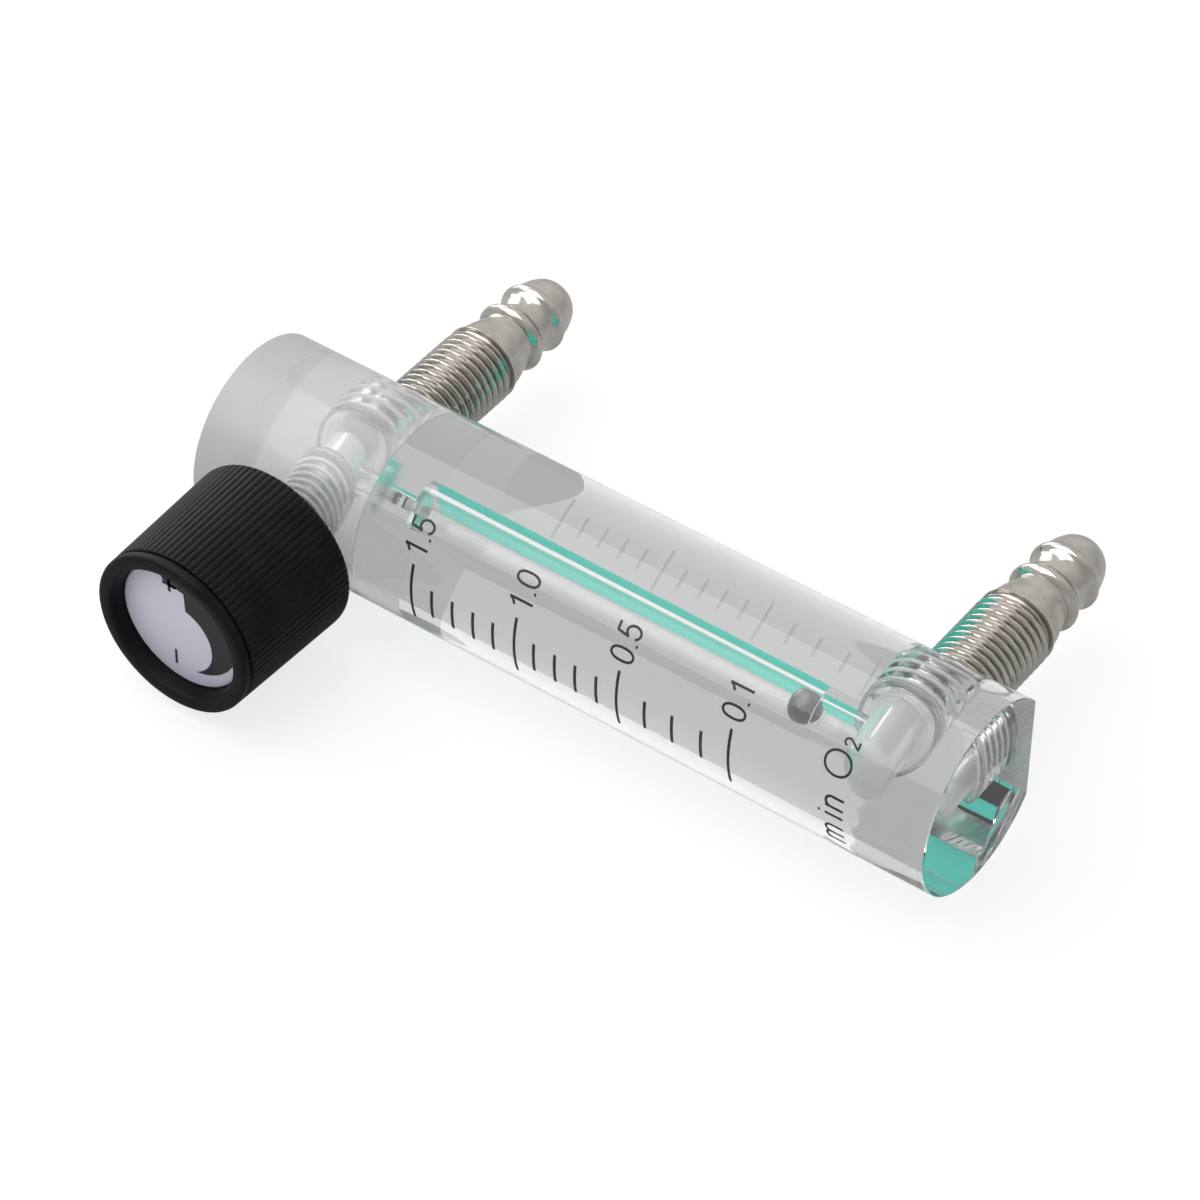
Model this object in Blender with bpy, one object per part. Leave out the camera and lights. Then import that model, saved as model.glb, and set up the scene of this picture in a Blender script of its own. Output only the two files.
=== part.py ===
"""Panel oxygen flowmeter: a clear D-section rod with a tapered bore and a float ball, a needle
valve with a ribbed knob, and two barbed fittings with threaded shanks on the flat back.

Millimetres are used throughout and turned into metres when a mesh is made.
X runs along the rod towards the inlet, -Y towards the knob, and the flat back lies in y = 0.
"""

import math

import bmesh
import bpy

# Driving dimensions, mm

ROD_RADIUS = 12.0
AXIS_TO_FLAT = 9.6
ROD_LENGTH = 101.2
BLOCK_LENGTH = 23.5
OUTLET_FROM_END = 14.15
INLET_FROM_END = 11.7

THREAD_RADIUS = 5.0
FITTING_BORE_RADIUS = 1.6
FITTING_REACH = 30.4
THREAD_REACH = 15.35
THREAD_PITCH = 1.11
THREAD_DEPTH = 0.6
BEAD_RADIUS = 4.52
NECK_RADIUS = 3.88
TIP_RADIUS = 3.1
PORT_FLOOR = 2.1

BALL_RADIUS = 2.05
BALL_CLEARANCE = 0.35
BORE_TAPER = 0.25
BORE_END_FROM_INLET_END = 20.2
PASSAGE_RADIUS = 1.5
INLET_CHAMBER_RADIUS = 3.1
INLET_CHAMBER_DEPTH = 3.7
STOP_LENGTH = 1.35
STOP_HOLE_RADIUS = 1.2
STOP_SETBACK = 0.6

STRIP_START_FROM_JOINT = 1.0
STRIP_HALF_WIDTH = 6.3
STRIP_THICKNESS = 0.4
STRIP_WALL = 0.6

VALVE_CHAMBER_RADIUS = 3.0
VALVE_CHAMBER_FLOOR = 1.2
BUSH_HOLE_FLOOR = 1.6
FEED_RADIUS = 1.0
ORIFICE_RADIUS = 0.95
SEAL_THICKNESS = 0.8
BUSH_RADIUS = 4.2
BUSH_NECK_RADIUS = 3.4
BUSH_NECK_LENGTH = 4.8
BUSH_THREAD_SETBACK = 0.4
BUSH_TOP_CLEARANCE = 1.0
HEAD_RADIUS = 2.4
HEAD_SHOULDER = 0.8
STEM_RADIUS = 1.8
GROOVE_CLOSED_DEPTH = 0.7
RING_WIDTH = 1.0
RING_SECTION = 0.8
NEEDLE_TIP_RADIUS = 0.25
NEEDLE_ROOT_RADIUS = 1.0
NEEDLE_LENGTH = 3.55

VALVE_PITCH = 0.75
CLOSING_TURNS = 2.5
OPENING_TURNS = 2.0

KNOB_FRONT_RADIUS = 10.65
KNOB_REAR_RADIUS = 11.25
KNOB_LENGTH = 18.8
KNOB_CLOSED_GAP = 0.525
RIB_COUNT = 80
RIB_HEIGHT = 0.22
RIM_WIDTH = 1.1
RIM_GROOVE_WIDTH = 0.35
RIM_GROOVE_DEPTH = 0.45
KNOB_WALL = 1.6
KNOB_WEB = 1.8
RECESS_RADIUS = 8.5
RECESS_FLARE = 0.35
RECESS_DEPTH = 2.0
DISC_THICKNESS = 0.8
BOSS_RADIUS = 4.6
BOSS_CLOSED_GAP = 0.525

# Gap left between two pieces that touch in the real thing, mm
GAP = 0.3

# Facets round each kind of curve
ROD_FACETS = 120
ROUND_FACETS = 56
SMALL_FACETS = 40

# Sizes worked out from the ones above

PORT_SPACING = ROD_LENGTH - OUTLET_FROM_END - INLET_FROM_END
VALVE_END_X = -(OUTLET_FROM_END + PORT_SPACING / 2)
JOINT_X = VALVE_END_X + BLOCK_LENGTH
INLET_END_X = VALVE_END_X + ROD_LENGTH
OUTLET_X = -PORT_SPACING / 2
INLET_X = PORT_SPACING / 2
ROD_AXIS_Y = -AXIS_TO_FLAT
HOLE_RADIUS = THREAD_RADIUS + GAP
BUSH_HOLE_RADIUS = BUSH_RADIUS + GAP

BORE_END_X = INLET_END_X - BORE_END_FROM_INLET_END
BORE_END_RADIUS = BALL_RADIUS + BALL_CLEARANCE
BORE_MOUTH_RADIUS = BORE_END_RADIUS + BORE_TAPER
BALL_SEAT_DISTANCE = math.sqrt((BALL_RADIUS + GAP) ** 2 - PASSAGE_RADIUS**2)
BALL_X = BORE_END_X - BALL_SEAT_DISTANCE
STOP_X = JOINT_X + STOP_SETBACK
STOP_RADIUS = BORE_MOUTH_RADIUS - BORE_TAPER * 0.04 - GAP

STRIP_START_X = JOINT_X + STRIP_START_FROM_JOINT
STRIP_END_X = INLET_X - HOLE_RADIUS - STRIP_WALL - GAP

CLOSING_TRAVEL = CLOSING_TURNS * VALVE_PITCH
OPENING_TRAVEL = OPENING_TURNS * VALVE_PITCH

BUSH_START = BUSH_HOLE_FLOOR + SEAL_THICKNESS + 2 * GAP
BUSH_BORE_RADIUS = HEAD_RADIUS + GAP
BUSH_STEM_RADIUS = STEM_RADIUS + GAP
BUSH_THREAD_REACH = ROD_RADIUS - BUSH_THREAD_SETBACK
BUSH_NECK_REACH = ROD_RADIUS + BUSH_NECK_LENGTH
GROOVE_START = BUSH_START + CLOSING_TRAVEL + GROOVE_CLOSED_DEPTH
GROOVE_END = GROOVE_START + RING_WIDTH + 2 * GAP
GROOVE_RADIUS = HEAD_RADIUS - RING_SECTION - GAP
HEAD_END = GROOVE_END + HEAD_SHOULDER
BUSH_SHOULDER = HEAD_END + OPENING_TRAVEL + BUSH_TOP_CLEARANCE
FITTING_START = PORT_FLOOR + SEAL_THICKNESS + 2 * GAP

NEEDLE_SLOPE = (NEEDLE_ROOT_RADIUS - NEEDLE_TIP_RADIUS) / NEEDLE_LENGTH
NEEDLE_CLOSED_REACH = (ORIFICE_RADIUS - GAP - NEEDLE_TIP_RADIUS) / NEEDLE_SLOPE
NEEDLE_TIP_AT = CLOSING_TRAVEL - VALVE_CHAMBER_FLOOR - NEEDLE_CLOSED_REACH
NEEDLE_ROOT_AT = NEEDLE_TIP_AT + NEEDLE_LENGTH

KNOB_REAR = ROD_RADIUS + CLOSING_TRAVEL + KNOB_CLOSED_GAP
KNOB_FRONT = KNOB_REAR + KNOB_LENGTH
RECESS_FLOOR = KNOB_FRONT - RECESS_DEPTH - DISC_THICKNESS - GAP
HOLLOW_END = RECESS_FLOOR - KNOB_WEB
HOLLOW_RADIUS = KNOB_FRONT_RADIUS - KNOB_WALL
BOSS_START = BUSH_NECK_REACH + CLOSING_TRAVEL + BOSS_CLOSED_GAP
STEM_END = HOLLOW_END + KNOB_WEB / 3


def in_front(distance):
    """The y of a point this far in front of the rod's axis, on the knob's side."""
    return ROD_AXIS_Y - distance


def behind(distance):
    """The y of a point this far behind the rod's axis, on the fittings' side."""
    return ROD_AXIS_Y + distance


def clear_scene():
    for obj in list(bpy.data.objects):
        bpy.data.objects.remove(obj, do_unlink=True)


def material(name, colour, roughness, metallic=0.0, transmission=0.0, coat=0.0):
    made = bpy.data.materials.new(name)
    made.use_nodes = True
    shader = made.node_tree.nodes["Principled BSDF"]
    shader.inputs["Base Color"].default_value = (*colour, 1.0)
    shader.inputs["Roughness"].default_value = roughness
    shader.inputs["Metallic"].default_value = metallic
    shader.inputs["Transmission Weight"].default_value = transmission
    shader.inputs["Coat Weight"].default_value = coat
    shader.inputs["IOR"].default_value = 1.49
    return made


def finish_mesh(name, mesh_data, origin, smooth_below):
    """Makes the object from the bmesh, whose points are in mm about origin."""
    bmesh.ops.recalc_face_normals(mesh_data, faces=mesh_data.faces)
    bmesh.ops.scale(mesh_data, vec=(0.001, 0.001, 0.001), verts=mesh_data.verts)
    mesh = bpy.data.meshes.new(name)
    mesh_data.to_mesh(mesh)
    mesh_data.free()
    mesh.shade_smooth()
    mesh.set_sharp_from_angle(angle=math.radians(smooth_below))
    obj = bpy.data.objects.new(name, mesh)
    obj.location = tuple(value * 0.001 for value in origin)
    bpy.context.collection.objects.link(obj)
    return obj


def loft(name, rings, origin, closed_profile, smooth_below=30.0):
    """Joins rings of points in order. A ring of one point is a pole on the axis."""
    mesh_data = bmesh.new()
    made = [[mesh_data.verts.new(point) for point in ring] for ring in rings]
    pairs = list(zip(made, made[1:]))
    if closed_profile:
        pairs.append((made[-1], made[0]))
    for first, second in pairs:
        count = max(len(first), len(second))
        if count == 1:
            continue
        for here in range(count):
            after = (here + 1) % count
            corners = [
                first[here % len(first)],
                first[after % len(first)],
                second[after % len(second)],
                second[here % len(second)],
            ]
            face = list(dict.fromkeys(corners))
            mesh_data.faces.new(face)
    for ring in () if closed_profile else (made[0], made[-1]):
        if len(ring) > 1:
            mesh_data.faces.new(ring)
    return finish_mesh(name, mesh_data, origin, smooth_below)


def circle_points(radius, facets):
    if radius == 0:
        return [(0.0, 0.0)]
    steps = [2 * math.pi * step / facets for step in range(facets)]
    return [(radius * math.cos(angle), radius * math.sin(angle)) for angle in steps]


def turned_y(name, profile, axis_x, facets=ROUND_FACETS, ring=False):
    """A round piece about a line along Y. The profile holds (radius, y)."""
    rings = [
        [(a, y, b) for a, b in circle_points(radius, facets)] for radius, y in profile
    ]
    return loft(name, rings, (axis_x, 0, 0), ring)


def turned_x(name, profile, facets=ROUND_FACETS, ring=False):
    """A round piece about the rod's axis. The profile holds (radius, x)."""
    rings = [
        [(x, a, b) for a, b in circle_points(radius, facets)] for radius, x in profile
    ]
    return loft(name, rings, (0, ROD_AXIS_Y, 0), ring)


def box(name, low, high):
    corners = [
        [(x, low[1], low[2]), (x, high[1], low[2]), (x, high[1], high[2]), (x, low[1], high[2])]
        for x in (low[0], high[0])
    ]
    return loft(name, corners, (0, 0, 0), False)


def d_section_bar(name, start_x, end_x):
    """A round bar about the rod's axis with one flat along its back."""
    flat_angle = math.acos(AXIS_TO_FLAT / ROD_RADIUS)
    steps = round(ROD_FACETS * (1 - flat_angle / math.pi))
    section = []
    for step in range(steps + 1):
        angle = flat_angle + (2 * math.pi - 2 * flat_angle) * step / steps
        section.append((ROD_RADIUS * math.cos(angle), ROD_RADIUS * math.sin(angle)))
    rings = [[(x, a, b) for a, b in section] for x in (start_x, end_x)]
    return loft(name, rings, (0, ROD_AXIS_Y, 0), False)


def cut(target, cutter):
    """Takes the cutter's volume out of the target and hides the cutter."""
    cutter.hide_render = True
    cutter.display_type = "WIRE"
    boolean = target.modifiers.new(cutter.name, "BOOLEAN")
    boolean.operation = "DIFFERENCE"
    boolean.solver = "EXACT"
    boolean.object = cutter


def paint(obj, surface):
    obj.data.materials.append(surface)


def thread_rings(radius, start, end):
    """Profile points of a thread closed into rings, from a root at start to a root at end."""
    turns = round((end - start) / THREAD_PITCH)
    pitch = (end - start) / turns
    points = [(radius - THREAD_DEPTH, start)]
    for turn in range(turns):
        points.append((radius, start + (turn + 0.5) * pitch))
        points.append((radius - THREAD_DEPTH, start + (turn + 1) * pitch))
    return points


def bead(start, length):
    """Profile points of one bead of a hose barb: a full rise, a round crown and a long fall."""
    shares = ((0.0, 0.0), (0.14, 0.5), (0.3, 0.87), (0.45, 1.0), (0.61, 0.9), (0.79, 0.66))
    rise = BEAD_RADIUS - NECK_RADIUS
    return [(NECK_RADIUS + rise * up, start + length * along) for along, up in shares]


def make_valve_block(acrylic):
    block = d_section_bar("valve_block", VALVE_END_X, JOINT_X - GAP / 2)
    valve_bore = turned_y(
        "cut_valve_bore",
        [
            (BUSH_HOLE_RADIUS, in_front(ROD_RADIUS + 2)),
            (BUSH_HOLE_RADIUS, in_front(BUSH_HOLE_FLOOR)),
            (VALVE_CHAMBER_RADIUS, in_front(BUSH_HOLE_FLOOR)),
            (VALVE_CHAMBER_RADIUS, behind(VALVE_CHAMBER_FLOOR)),
            (ORIFICE_RADIUS, behind(VALVE_CHAMBER_FLOOR)),
            (ORIFICE_RADIUS, behind(PORT_FLOOR)),
            (HOLE_RADIUS, behind(PORT_FLOOR)),
            (HOLE_RADIUS, behind(AXIS_TO_FLAT + 2)),
        ],
        OUTLET_X,
    )
    feed = turned_x(
        "cut_feed",
        [(FEED_RADIUS, OUTLET_X), (FEED_RADIUS, JOINT_X + 2)],
        SMALL_FACETS,
    )
    for cutter in (valve_bore, feed):
        cut(block, cutter)
    paint(block, acrylic)


def make_metering_tube(acrylic):
    tube = d_section_bar("metering_tube", JOINT_X + GAP / 2, INLET_END_X)
    bore = turned_x(
        "cut_tapered_bore",
        [
            (BORE_MOUTH_RADIUS, JOINT_X - 1),
            (BORE_MOUTH_RADIUS, JOINT_X + GAP / 2),
            (BORE_END_RADIUS, BORE_END_X),
            (PASSAGE_RADIUS, BORE_END_X),
            (PASSAGE_RADIUS, INLET_X),
        ],
    )
    port = turned_y(
        "cut_inlet_port",
        [
            (INLET_CHAMBER_RADIUS, in_front(INLET_CHAMBER_DEPTH)),
            (INLET_CHAMBER_RADIUS, behind(PORT_FLOOR)),
            (HOLE_RADIUS, behind(PORT_FLOOR)),
            (HOLE_RADIUS, behind(AXIS_TO_FLAT + 2)),
        ],
        INLET_X,
    )
    groove = box(
        "cut_strip_groove",
        (STRIP_START_X - GAP, -STRIP_THICKNESS - GAP, -STRIP_HALF_WIDTH - GAP),
        (STRIP_END_X + GAP, 2, STRIP_HALF_WIDTH + GAP),
    )
    for cutter in (bore, port, groove):
        cut(tube, cutter)
    paint(tube, acrylic)


def make_backing_strip(surface):
    strip = box(
        "backing_strip",
        (STRIP_START_X, -STRIP_THICKNESS, -STRIP_HALF_WIDTH),
        (STRIP_END_X, 0, STRIP_HALF_WIDTH),
    )
    paint(strip, surface)


def make_float_ball(surface):
    mesh_data = bmesh.new()
    bmesh.ops.create_icosphere(mesh_data, subdivisions=4, radius=BALL_RADIUS)
    ball = finish_mesh("float_ball", mesh_data, (BALL_X, ROD_AXIS_Y, 0), 60.0)
    paint(ball, surface)


def make_float_stop(surface):
    stop = turned_x(
        "float_stop",
        [
            (STOP_RADIUS, STOP_X),
            (STOP_RADIUS, STOP_X + STOP_LENGTH),
            (STOP_HOLE_RADIUS, STOP_X + STOP_LENGTH),
            (STOP_HOLE_RADIUS, STOP_X),
        ],
        SMALL_FACETS,
        ring=True,
    )
    paint(stop, surface)


def make_fitting(name, axis_x, surface):
    """A threaded shank that goes into a port, with a two-bead hose barb on its outer end."""
    start = behind(FITTING_START)
    barb = FITTING_REACH - THREAD_REACH
    neck = THREAD_REACH + 0.235 * barb
    pitch = 0.295 * barb
    profile = [
        (FITTING_BORE_RADIUS, start),
        (THREAD_RADIUS - 0.5, start),
        (THREAD_RADIUS, start + 0.5),
        (THREAD_RADIUS, 0.0),
    ]
    profile += thread_rings(
        THREAD_RADIUS, THREAD_PITCH / 2, THREAD_REACH - THREAD_PITCH / 2
    )
    profile += [
        (THREAD_RADIUS - 0.05, THREAD_REACH),
        (THREAD_RADIUS - 0.35, THREAD_REACH + 0.03 * barb),
        (NECK_RADIUS + 0.35, THREAD_REACH + 0.17 * barb),
    ]
    profile += bead(neck, pitch)
    profile += bead(neck + pitch, pitch)
    profile += [
        (TIP_RADIUS, FITTING_REACH - 0.15),
        (TIP_RADIUS - 0.15, FITTING_REACH),
        (FITTING_BORE_RADIUS, FITTING_REACH),
    ]
    fitting = turned_y(name, profile, axis_x, SMALL_FACETS, ring=True)
    paint(fitting, surface)


def make_flat_ring(name, axis_x, low_y, high_y, inner, outer, surface):
    ring = turned_y(
        name,
        [(inner, low_y), (outer, low_y), (outer, high_y), (inner, high_y)],
        axis_x,
        ring=True,
    )
    paint(ring, surface)


def make_seals(surface):
    for name, axis_x in (("inlet_seal", INLET_X), ("outlet_seal", OUTLET_X)):
        make_flat_ring(
            name,
            axis_x,
            behind(PORT_FLOOR + GAP),
            behind(PORT_FLOOR + GAP + SEAL_THICKNESS),
            INLET_CHAMBER_RADIUS,
            THREAD_RADIUS,
            surface,
        )
    make_flat_ring(
        "bush_seal",
        OUTLET_X,
        in_front(BUSH_START - GAP),
        in_front(BUSH_HOLE_FLOOR + GAP),
        VALVE_CHAMBER_RADIUS,
        BUSH_RADIUS,
        surface,
    )


def make_valve_bush(surface):
    """The threaded gland in the front of the block. It guides the spindle's head and stem."""
    profile = [(BUSH_BORE_RADIUS, BUSH_START), (BUSH_RADIUS - 0.8, BUSH_START)]
    profile += thread_rings(
        BUSH_RADIUS, BUSH_START + THREAD_PITCH / 3, BUSH_THREAD_REACH - THREAD_PITCH / 2
    )
    profile += [
        (BUSH_RADIUS, BUSH_THREAD_REACH),
        (BUSH_NECK_RADIUS, BUSH_THREAD_REACH),
        (BUSH_NECK_RADIUS, BUSH_NECK_REACH - 0.4),
        (BUSH_NECK_RADIUS - 0.4, BUSH_NECK_REACH),
        (BUSH_STEM_RADIUS, BUSH_NECK_REACH),
        (BUSH_STEM_RADIUS, BUSH_SHOULDER),
        (BUSH_BORE_RADIUS, BUSH_SHOULDER),
    ]
    bush = turned_y(
        "valve_bush",
        [(radius, in_front(distance)) for radius, distance in profile],
        OUTLET_X,
        SMALL_FACETS,
        ring=True,
    )
    paint(bush, surface)


def make_spindle(surface):
    """The needle, the head with the seal's groove, and the stem that holds the knob."""
    profile = [
        (0, NEEDLE_TIP_AT),
        (NEEDLE_TIP_RADIUS, NEEDLE_TIP_AT),
        (NEEDLE_ROOT_RADIUS, NEEDLE_ROOT_AT),
        (HEAD_RADIUS - 0.4, NEEDLE_ROOT_AT + 0.4),
        (HEAD_RADIUS, NEEDLE_ROOT_AT + 0.8),
        (HEAD_RADIUS, GROOVE_START),
        (GROOVE_RADIUS, GROOVE_START),
        (GROOVE_RADIUS, GROOVE_END),
        (HEAD_RADIUS, GROOVE_END),
        (HEAD_RADIUS, HEAD_END),
        (STEM_RADIUS, HEAD_END),
        (STEM_RADIUS, STEM_END - 0.4),
        (STEM_RADIUS - 0.4, STEM_END),
        (0, STEM_END),
    ]
    spindle = turned_y(
        "valve_spindle",
        [(radius, in_front(distance)) for radius, distance in profile],
        OUTLET_X,
        SMALL_FACETS,
    )
    paint(spindle, surface)


def make_spindle_seal(surface):
    """A round-section ring in the spindle's groove."""
    middle = HEAD_RADIUS - RING_SECTION / 2
    centre = in_front((GROOVE_START + GROOVE_END) / 2)
    profile = []
    for step in range(12):
        angle = 2 * math.pi * step / 12
        profile.append(
            (
                middle + RING_SECTION / 2 * math.cos(angle),
                centre + RING_WIDTH / 2 * math.sin(angle),
            )
        )
    seal = turned_y("spindle_seal", profile, OUTLET_X, SMALL_FACETS, ring=True)
    paint(seal, surface)


def rib_ring(radius, depth, distance):
    """One ring of the knob's side: a narrow valley, then a broad crest, for every rib."""
    points = []
    for rib in range(RIB_COUNT):
        for share, drop in ((0.0, depth), (0.3, 0.0), (0.7, 0.0)):
            angle = 2 * math.pi * (rib + share) / RIB_COUNT
            reach = radius - drop
            points.append(
                (reach * math.cos(angle), in_front(distance), reach * math.sin(angle))
            )
    return points


def make_knob(surface):
    """The knob: a ribbed barrel with a smooth rim, hollow behind, recessed in front."""
    slope = (KNOB_REAR_RADIUS - KNOB_FRONT_RADIUS) / KNOB_LENGTH
    rim_start = KNOB_FRONT - RIM_WIDTH
    ribs_end = rim_start - RIM_GROOVE_WIDTH

    def barrel(distance):
        return KNOB_REAR_RADIUS - slope * (distance - KNOB_REAR)

    groove_radius = barrel(rim_start) - RIM_GROOVE_DEPTH
    rings = [
        rib_ring(barrel(KNOB_REAR) - 0.9, 0, KNOB_REAR),
        rib_ring(barrel(KNOB_REAR) - 0.4, RIB_HEIGHT * 0.3, KNOB_REAR + 0.15),
        rib_ring(barrel(KNOB_REAR) - 0.1, RIB_HEIGHT, KNOB_REAR + 0.5),
        rib_ring(barrel(KNOB_REAR + 1.0), RIB_HEIGHT, KNOB_REAR + 1.0),
        rib_ring(barrel(ribs_end), RIB_HEIGHT, ribs_end),
        rib_ring(groove_radius, 0, ribs_end + 0.05),
        rib_ring(groove_radius, 0, rim_start),
        rib_ring(barrel(rim_start), 0, rim_start + 0.05),
        rib_ring(barrel(KNOB_FRONT) + 0.02, 0, KNOB_FRONT - 0.4),
        rib_ring(barrel(KNOB_FRONT) - 0.12, 0, KNOB_FRONT - 0.12),
        rib_ring(barrel(KNOB_FRONT) - 0.4, 0, KNOB_FRONT),
    ]
    knob = loft("knob", rings, (OUTLET_X, 0, 0), False, smooth_below=25.0)
    recess = turned_y(
        "cut_recess",
        [
            (RECESS_RADIUS, in_front(RECESS_FLOOR)),
            (RECESS_RADIUS, in_front(KNOB_FRONT - RECESS_DEPTH)),
            (RECESS_RADIUS + RECESS_FLARE, in_front(KNOB_FRONT)),
            (RECESS_RADIUS + RECESS_FLARE, in_front(KNOB_FRONT + 1)),
        ],
        OUTLET_X,
    )
    hollow = turned_y(
        "cut_hollow",
        [
            (BOSS_RADIUS, in_front(BOSS_START)),
            (BOSS_RADIUS, in_front(HOLLOW_END)),
            (HOLLOW_RADIUS, in_front(HOLLOW_END)),
            (HOLLOW_RADIUS, in_front(KNOB_REAR - 1)),
            (0, in_front(KNOB_REAR - 1)),
            (0, in_front(BOSS_START)),
        ],
        OUTLET_X,
    )
    stem_hole = turned_y(
        "cut_stem_hole",
        [
            (STEM_RADIUS + GAP, in_front(BOSS_START - 1)),
            (STEM_RADIUS + GAP, in_front(STEM_END + GAP)),
        ],
        OUTLET_X,
        SMALL_FACETS,
    )
    for cutter in (recess, hollow, stem_hole):
        cut(knob, cutter)
    paint(knob, surface)


def make_knob_disc(surface):
    disc = turned_y(
        "knob_disc",
        [
            (RECESS_RADIUS - GAP, in_front(KNOB_FRONT - RECESS_DEPTH - DISC_THICKNESS)),
            (RECESS_RADIUS - GAP, in_front(KNOB_FRONT - RECESS_DEPTH)),
        ],
        OUTLET_X,
    )
    paint(disc, surface)


def main():
    clear_scene()
    acrylic = material("clear_acrylic", (0.95, 0.97, 0.97), 0.03, transmission=1.0)
    teal = material("backing_teal", (0.08, 0.60, 0.50), 0.45)
    ball_black = material("ball_black", (0.03, 0.03, 0.035), 0.25)
    stop_white = material("stop_white", (0.78, 0.80, 0.80), 0.35)
    nickel = material("nickel_plated_brass", (0.66, 0.61, 0.54), 0.22, metallic=1.0)
    bush_metal = material("bush_metal", (0.70, 0.66, 0.58), 0.25, metallic=1.0)
    steel = material("spindle_steel", (0.62, 0.62, 0.63), 0.3, metallic=1.0)
    seal_white = material("seal_white", (0.80, 0.80, 0.78), 0.5)
    seal_black = material("seal_black", (0.03, 0.03, 0.03), 0.6)
    knob_black = material("knob_black", (0.018, 0.018, 0.019), 0.45)
    disc_lilac = material("disc_lilac", (0.72, 0.71, 0.80), 0.4)
    make_valve_block(acrylic)
    make_metering_tube(acrylic)
    make_backing_strip(teal)
    make_float_ball(ball_black)
    make_float_stop(stop_white)
    make_fitting("inlet_fitting", INLET_X, nickel)
    make_fitting("outlet_fitting", OUTLET_X, nickel)
    make_seals(seal_white)
    make_valve_bush(bush_metal)
    make_spindle(steel)
    make_spindle_seal(seal_black)
    make_knob(knob_black)
    make_knob_disc(disc_lilac)


main()
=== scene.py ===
"""The looks of the panel oxygen flowmeter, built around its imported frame.

Lengths are millimetres and turn into metres when a mesh is made. X runs along the rod towards
the inlet, -Y towards the knob, and the flat back of the rod lies in y = 0.
"""

import math

import bmesh
import bpy
from mathutils import Matrix, Vector


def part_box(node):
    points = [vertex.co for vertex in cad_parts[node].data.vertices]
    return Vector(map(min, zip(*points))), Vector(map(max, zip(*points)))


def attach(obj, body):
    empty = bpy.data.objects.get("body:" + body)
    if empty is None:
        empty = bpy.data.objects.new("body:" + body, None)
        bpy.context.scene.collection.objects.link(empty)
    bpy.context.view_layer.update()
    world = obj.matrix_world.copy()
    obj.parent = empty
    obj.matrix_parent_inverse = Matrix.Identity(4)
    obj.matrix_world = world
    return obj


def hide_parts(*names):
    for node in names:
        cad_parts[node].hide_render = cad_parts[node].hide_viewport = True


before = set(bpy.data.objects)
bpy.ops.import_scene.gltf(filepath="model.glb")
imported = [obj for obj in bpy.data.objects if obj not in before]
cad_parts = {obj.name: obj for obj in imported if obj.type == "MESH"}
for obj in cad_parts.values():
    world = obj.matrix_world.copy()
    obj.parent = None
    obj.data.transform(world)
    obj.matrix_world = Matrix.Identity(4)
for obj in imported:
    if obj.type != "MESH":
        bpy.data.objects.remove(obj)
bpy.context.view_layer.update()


def box_of(node):
    low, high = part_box(node)
    return low * 1000, high * 1000


# Places taken from the frame

BLOCK_LOW, BLOCK_HIGH = box_of("valve_block")
TUBE_LOW, TUBE_HIGH = box_of("metering_tube")
STRIP_LOW, STRIP_HIGH = box_of("backing_strip")
BALL_LOW, BALL_HIGH = box_of("float_ball")
STOP_LOW, STOP_HIGH = box_of("float_stop")
OUTLET_LOW, OUTLET_HIGH = box_of("outlet_fitting")
INLET_LOW, INLET_HIGH = box_of("inlet_fitting")
SEAL_LOW, SEAL_HIGH = box_of("inlet_seal")
BUSH_SEAL_LOW, BUSH_SEAL_HIGH = box_of("bush_seal")
BUSH_LOW, BUSH_HIGH = box_of("valve_bush")
KNOB_LOW, KNOB_HIGH = box_of("knob")
DISC_LOW, DISC_HIGH = box_of("knob_disc")

BALL_CENTRE = (BALL_LOW + BALL_HIGH) / 2
BALL_RADIUS = (BALL_HIGH.z - BALL_LOW.z) / 2
ROD_AXIS_Y = BALL_CENTRE.y
ROD_RADIUS = ROD_AXIS_Y - TUBE_LOW.y
BACK_Y = TUBE_HIGH.y
VALVE_END_X = BLOCK_LOW.x
JOINT_X = (BLOCK_HIGH.x + TUBE_LOW.x) / 2
INLET_END_X = TUBE_HIGH.x
OUTLET_X = (OUTLET_LOW.x + OUTLET_HIGH.x) / 2
INLET_X = (INLET_LOW.x + INLET_HIGH.x) / 2
THREAD_RADIUS = (INLET_HIGH.x - INLET_LOW.x) / 2
BUSH_RADIUS = (BUSH_HIGH.x - BUSH_LOW.x) / 2
FITTING_START_Y = SEAL_HIGH.y + 0.02
FITTING_TIP_Y = INLET_HIGH.y
PORT_FLOOR_Y = SEAL_LOW.y - 0.02
BUSH_FLOOR_Y = BUSH_SEAL_HIGH.y + 0.02
BUSH_START_Y = BUSH_SEAL_LOW.y - 0.02
BUSH_TOP_Y = BUSH_LOW.y
KNOB_REAR_Y = KNOB_HIGH.y
KNOB_FRONT_Y = KNOB_LOW.y
KNOB_REAR_RADIUS = KNOB_HIGH.z
DISC_Y = DISC_LOW.y
RECESS_RADIUS = (DISC_HIGH.x - DISC_LOW.x) / 2 + 0.3

# Sizes of what only the looks have

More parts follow.
